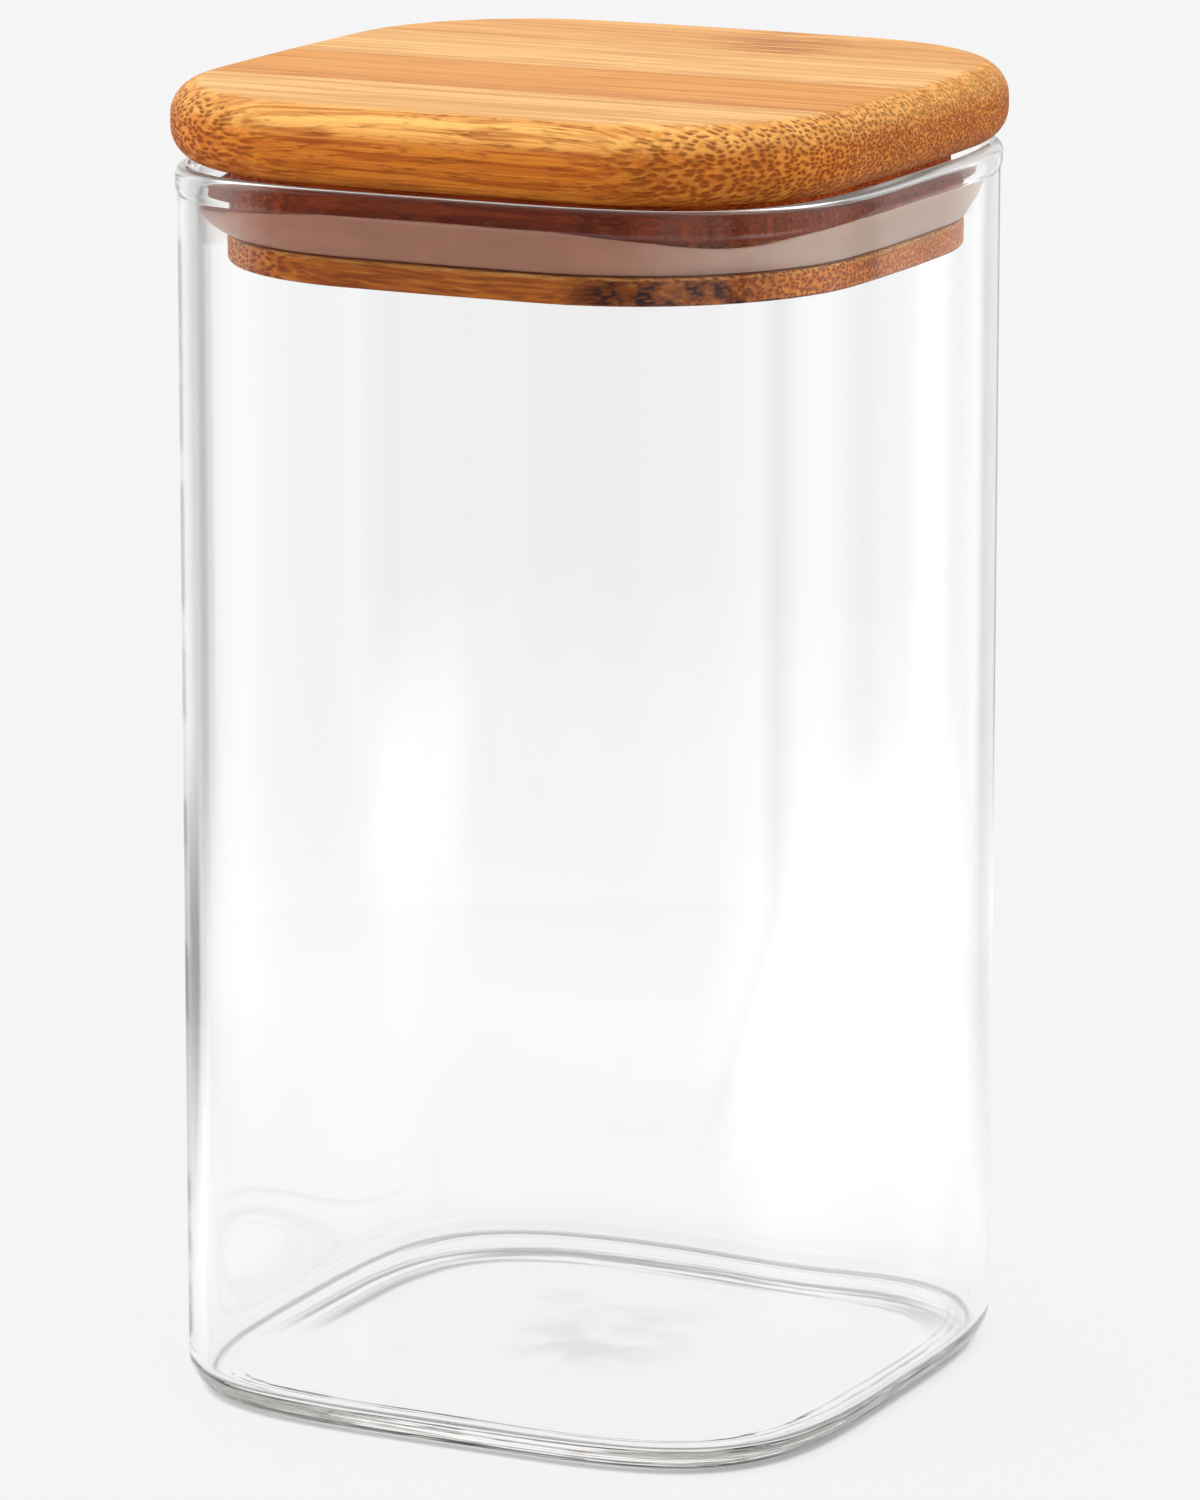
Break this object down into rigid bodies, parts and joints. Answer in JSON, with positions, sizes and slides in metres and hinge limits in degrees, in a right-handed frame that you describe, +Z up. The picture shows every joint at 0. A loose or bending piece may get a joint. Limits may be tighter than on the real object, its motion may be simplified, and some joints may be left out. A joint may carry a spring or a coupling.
{
  "type": "glass storage jar",
  "caption": "Square glass storage jar with round corners and a lift-off bamboo plug lid sealed by a silicone lip ring.",
  "frame": {"origin": "centre of the base, on the surface that the jar stands on", "axes": "+Z up along the jar's axis and the way the lid lifts; X along the grain of the bamboo lid; the faces of the jar are square to X and Y"},
  "size_m": [0.103, 0.103, 0.185],
  "materials": {
    "clear_glass": "clear, polished, with a fire-polished rim",
    "bamboo_light": "light laminated bamboo, sanded and oiled",
    "bamboo_dark": "darker laminated bamboo, sanded and oiled",
    "bamboo_plug": "laminated bamboo, sanded and oiled",
    "silicone": "milky translucent silicone, satin"
  },
  "bodies": {
    "jar": {"glass_jar": "clear_glass"},
    "lid": {"board_lath_1": "bamboo_light", "board_lath_2": "bamboo_dark", "board_lath_3": "bamboo_light", "board_lath_4": "bamboo_dark", "plug_lath_1": "bamboo_plug", "plug_lath_2": "bamboo_plug", "plug_lath_3": "bamboo_plug", "plug_lath_4": "bamboo_plug", "seal_ring": "silicone"}
  },
  "joints": [
    {"name": "lid_lift", "type": "slide", "parent": "jar", "child": "lid", "axis": [0, 0, 1], "range_m": [0, 0.12]}
  ]
}
